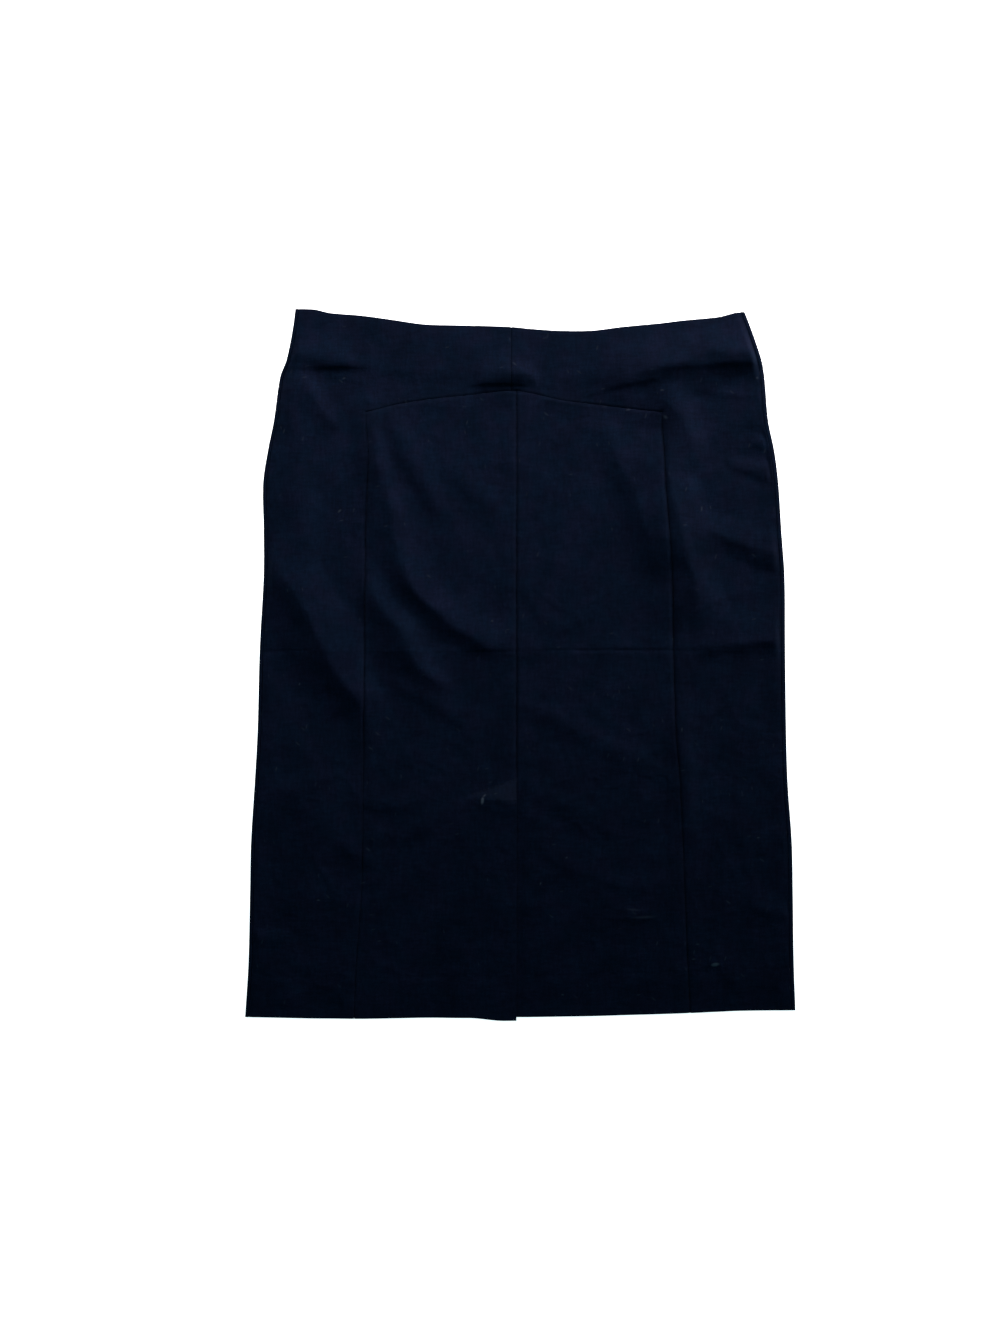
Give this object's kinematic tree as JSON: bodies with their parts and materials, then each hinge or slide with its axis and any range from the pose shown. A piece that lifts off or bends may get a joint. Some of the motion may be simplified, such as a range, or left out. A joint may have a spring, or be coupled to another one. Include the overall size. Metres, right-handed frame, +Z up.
{
  "type": "pencil skirt laid flat, back up",
  "caption": "Dark pencil skirt laid flat with its back up: shaped yoke cut in one with the side panels, inset centre back with a seam and a lapped vent.",
  "frame": {"origin": "middle of the part's box, on the surface that it lies on", "axes": "+X across the skirt to the right as seen from above, +Y from hem to waist, +Z up from the surface, the skirt's back facing up"},
  "size_m": [0.4778, 0.6176, 0.0105],
  "materials": {
    "skirt_cloth": "near-black navy stretch-woven cloth, fine weave, soft low sheen"
  },
  "bodies": {
    "root": {"front_panel": "skirt_cloth", "yoke_side_left": "skirt_cloth", "yoke_side_right": "skirt_cloth", "centre_back_left": "skirt_cloth", "centre_back_right": "skirt_cloth"}
  },
  "joints": []
}
